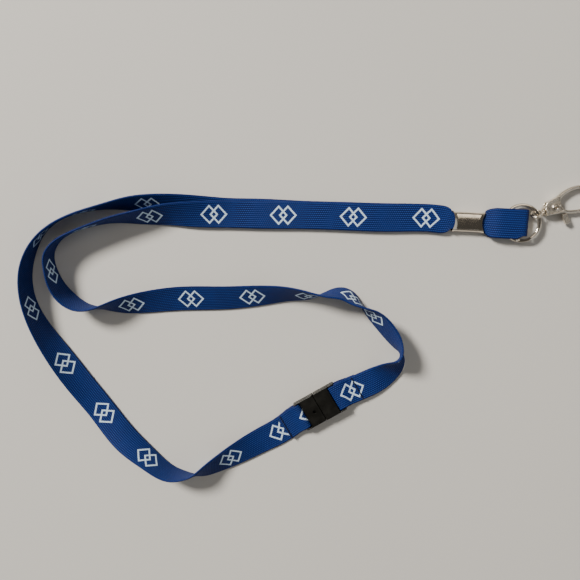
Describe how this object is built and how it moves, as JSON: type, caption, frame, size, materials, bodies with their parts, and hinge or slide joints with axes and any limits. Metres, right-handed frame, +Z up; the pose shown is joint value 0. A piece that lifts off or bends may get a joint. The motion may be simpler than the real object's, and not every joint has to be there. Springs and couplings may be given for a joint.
{
  "type": "lanyard",
  "caption": "Flat woven neck strap laid in a loose loop, with a side-release safety buckle, a steel crimp, a split ring and a swivel trigger clasp",
  "frame": {"origin": "on the table under the middle of the crimp sleeve, at the middle of its flat underside", "axes": "+X along the crimp towards the split ring, +Y to the left of that in the table's plane, +Z up from the table"},
  "size_m": [0.3089, 0.1758, 0.0151],
  "materials": {
    "webbing": "royal blue woven polyester with fine lengthwise ribs and a white printed mark",
    "thread": "blue sewing thread",
    "buckle_plastic": "black moulded acetal, satin",
    "nickel": "bright nickel plate, lightly rubbed",
    "spring_steel": "drawn spring wire"
  },
  "bodies": {
    "strap": {"webbing_outer_run": "webbing", "webbing_inner_run": "webbing", "webbing_end_socket_side": "webbing", "stitching_socket_side": "thread", "buckle_socket": "buckle_plastic", "crimp_sleeve": "nickel"},
    "plug": {"buckle_plug": "buckle_plastic", "webbing_end_plug_side": "webbing", "stitching_plug_side": "thread"},
    "loop": {"webbing_ring_loop": "webbing"},
    "ring": {"split_ring": "nickel"},
    "eye": {"swivel_eye": "nickel"},
    "clasp": {"clasp_body": "nickel", "pivot_rivet": "nickel"},
    "gate": {"gate_lever": "nickel", "gate_spring": "spring_steel"}
  },
  "joints": [
    {"name": "buckle_release", "type": "slide", "parent": "strap", "child": "plug", "axis": [0.8339, 0.5519, 0], "range_m": [0, 0.01], "deforming": ["webbing_inner_run"]},
    {"name": "loop_flex", "type": "hinge", "parent": "strap", "child": "loop", "pos_m": [0.0085, 0, 0.00215], "axis": [0, 1, 0], "range_deg": [-60, 60], "deforming": ["webbing_ring_loop"]},
    {"name": "ring_turn", "type": "hinge", "parent": "loop", "child": "ring", "pos_m": [0.028, 0.0009, 0.0033], "axis": [0, 0, 1], "range_deg": [-70, 7]},
    {"name": "eye_swing", "type": "hinge", "parent": "ring", "child": "eye", "pos_m": [0.0359, 0.0061, 0.00333], "axis": [-0.5498, 0.8353, 0], "range_deg": [-75, 75]},
    {"name": "clasp_swivel", "type": "hinge", "parent": "eye", "child": "clasp", "pos_m": [0.0359, 0.0061, 0.00333], "axis": [0.9157, 0.3982, -0.0541], "continuous": true},
    {"name": "gate_open", "type": "hinge", "parent": "clasp", "child": "gate", "pos_m": [0.04446, 0.00971, 0.00283], "axis": [0.0496, 0.0216, 0.9985], "range_deg": [0, 18], "stiffness_Nm_per_rad": 0.05, "springref_deg": -11.46}
  ]
}
